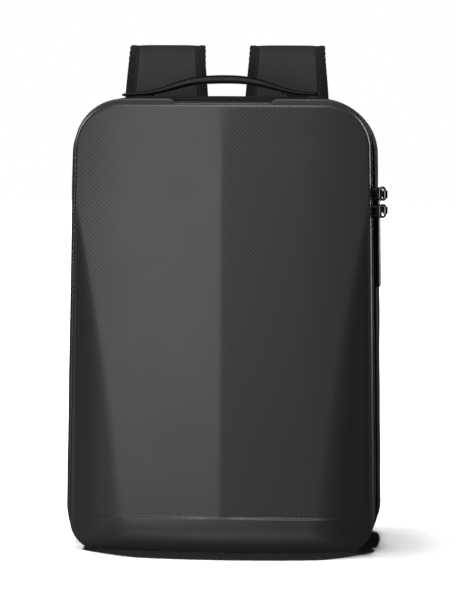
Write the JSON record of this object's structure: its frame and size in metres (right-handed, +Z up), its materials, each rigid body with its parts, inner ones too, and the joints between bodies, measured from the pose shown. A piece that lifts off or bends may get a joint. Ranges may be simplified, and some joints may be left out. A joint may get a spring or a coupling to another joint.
{
  "type": "hard shell backpack",
  "caption": "Upright hard shell backpack with a creased front shell, side facets, zipped soft rear body, top handle and padded shoulder straps.",
  "frame": {"origin": "on the resting plane, under the middle of the rear body's base", "axes": "+X to the right seen from the front, +Y to the back panel, +Z up; the moulded shell faces -Y"},
  "size_m": [0.3232, 0.1785, 0.5009],
  "materials": {
    "shell_plastic": "moulded ABS with a fine twill emboss, satin",
    "body_fabric": "close woven polyester",
    "zip_fabric": "woven zip tape and nylon coil",
    "strap_fabric": "smooth woven polyester over foam",
    "panel_mesh": "air mesh over foam",
    "webbing": "ribbed nylon webbing",
    "handle_rubber": "moulded, satin",
    "slider_metal": "die-cast zinc with a dark plating",
    "trim_plastic": "moulded acetal, satin"
  },
  "bodies": {
    "case": {"front_shell": "shell_plastic", "rear_body": "body_fabric", "zip_tape": "zip_fabric", "zip_coil": "zip_fabric", "slider_upper": "slider_metal", "slider_lower": "slider_metal", "lock_plate": "trim_plastic", "back_panel": "panel_mesh", "shoulder_strap_left": "strap_fabric", "shoulder_strap_right": "strap_fabric", "strap_buckle_left": "trim_plastic", "strap_buckle_right": "trim_plastic", "strap_webbing_left": "webbing", "strap_webbing_right": "webbing", "anchor_tab_left": "webbing", "anchor_tab_right": "webbing", "carry_handle": "handle_rubber", "handle_foot_left": "trim_plastic", "handle_foot_right": "trim_plastic"},
    "upper_pull": {"pull_upper": "slider_metal"},
    "lower_pull": {"pull_lower": "slider_metal"}
  },
  "joints": [
    {"name": "upper_pull_swing", "type": "hinge", "parent": "case", "child": "upper_pull", "pos_m": [0.15894, -0.0202, 0.3547], "axis": [0, 0, -1], "range_deg": [0, 165]},
    {"name": "lower_pull_swing", "type": "hinge", "parent": "case", "child": "lower_pull", "pos_m": [0.15934, -0.0202, 0.3393], "axis": [0, 0, -1], "range_deg": [0, 165]}
  ]
}
